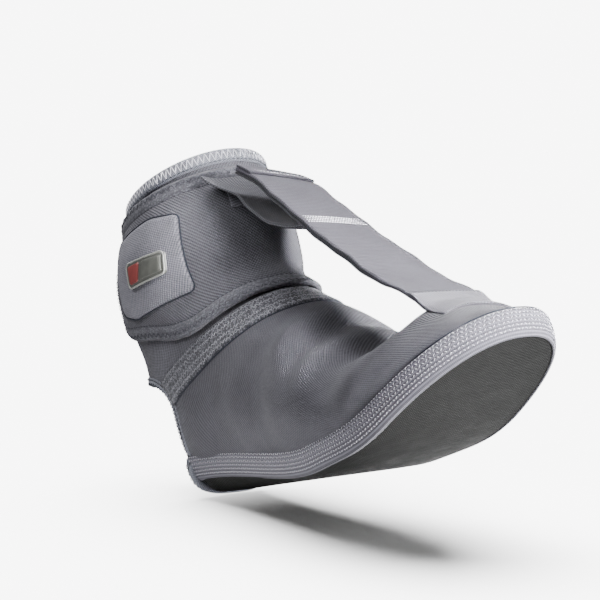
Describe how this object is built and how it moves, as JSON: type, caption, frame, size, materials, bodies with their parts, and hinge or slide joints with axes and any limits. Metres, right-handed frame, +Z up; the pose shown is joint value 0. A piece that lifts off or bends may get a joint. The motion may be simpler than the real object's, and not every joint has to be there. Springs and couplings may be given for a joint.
{
  "type": "ankle foot orthosis",
  "caption": "Soft open-heel ankle foot orthosis: knit boot on a bent sole, with an ankle wrap and a dorsiflexion strap from toe to shin.",
  "frame": {"origin": "middle of the sole's flat ground face, under the arch", "axes": "+X towards the toe, +Z up, -Y the wearer's outer side, where the wrap closes"},
  "size_m": [0.2931, 0.0898, 0.1667],
  "materials": {
    "grey_knit": "fine twill knit over foam, matt",
    "light_knit": "lighter grey elastic knit, matt",
    "edge_elastic": "ribbed elastic band with zigzag topstitch",
    "speckled_tape": "flat tape with light cover stitch",
    "bound_edge": "narrow bound edge with stitching",
    "sole_grip": "dotted gripping sheet, matt",
    "board": "flexible stiffener, matt",
    "foot_bed": "brushed lining over foam",
    "strap_web": "brushed elastic strap",
    "hook_dark": "dark hook tape",
    "loop_pile": "short loop pile",
    "badge_rubber": "moulded rubber, satin",
    "badge_face": "moulded rubber, satin, no lettering",
    "thread": "light sewing thread"
  },
  "bodies": {
    "hindfoot": {"outsole_heel": "sole_grip", "sole_board_heel": "board", "insole_heel": "foot_bed", "edge_band_outer_side": "edge_elastic", "edge_band_inner_side": "edge_elastic", "foot_panel_outer": "grey_knit", "foot_panel_inner": "grey_knit", "seam_tape_outer": "speckled_tape", "seam_tape_inner": "speckled_tape", "heel_binding_lower": "bound_edge"},
    "forefoot": {"outsole_toe": "sole_grip", "sole_board_toe": "board", "insole_toe": "foot_bed", "edge_band_toe": "edge_elastic", "toe_panel": "light_knit", "toe_anchor_patch": "strap_web"},
    "strap": {"dorsiflexion_strap": "strap_web", "strap_end_hem": "strap_web", "strap_hook_tab": "hook_dark", "strap_stitch_rows": "thread"},
    "cuff": {"ankle_sleeve": "grey_knit", "rim_binding": "bound_edge", "heel_binding_upper": "bound_edge", "wrap_fixed_part": "grey_knit", "wrap_fixed_border": "bound_edge", "sleeve_loop_pad": "loop_pile", "front_loop_patch": "loop_pile"},
    "wrap": {"wrap_flap": "grey_knit", "wrap_flap_border": "bound_edge", "wrap_hook_pad": "hook_dark", "closure_patch": "grey_knit", "badge_base": "badge_rubber", "badge_inlay": "badge_face"}
  },
  "joints": [
    {"name": "forefoot_flex", "type": "hinge", "parent": "hindfoot", "child": "forefoot", "pos_m": [0.094, 0, 0], "axis": [0, 1, 0], "range_deg": [0, 27]},
    {"name": "ankle_flex", "type": "hinge", "parent": "hindfoot", "child": "cuff", "pos_m": [-0.056, 0, 0.062], "axis": [0, 1, 0], "range_deg": [-20, 0]},
    {"name": "strap_release", "type": "hinge", "parent": "forefoot", "child": "strap", "pos_m": [0.1318, 0, 0.0715], "axis": [0, 1, 0], "range_deg": [0, 120]},
    {"name": "wrap_open", "type": "hinge", "parent": "cuff", "child": "wrap", "pos_m": [-0.00668, -0.02863, 0.10985], "axis": [-0.2539, 0.0894, 0.9631], "range_deg": [0, 90]}
  ]
}
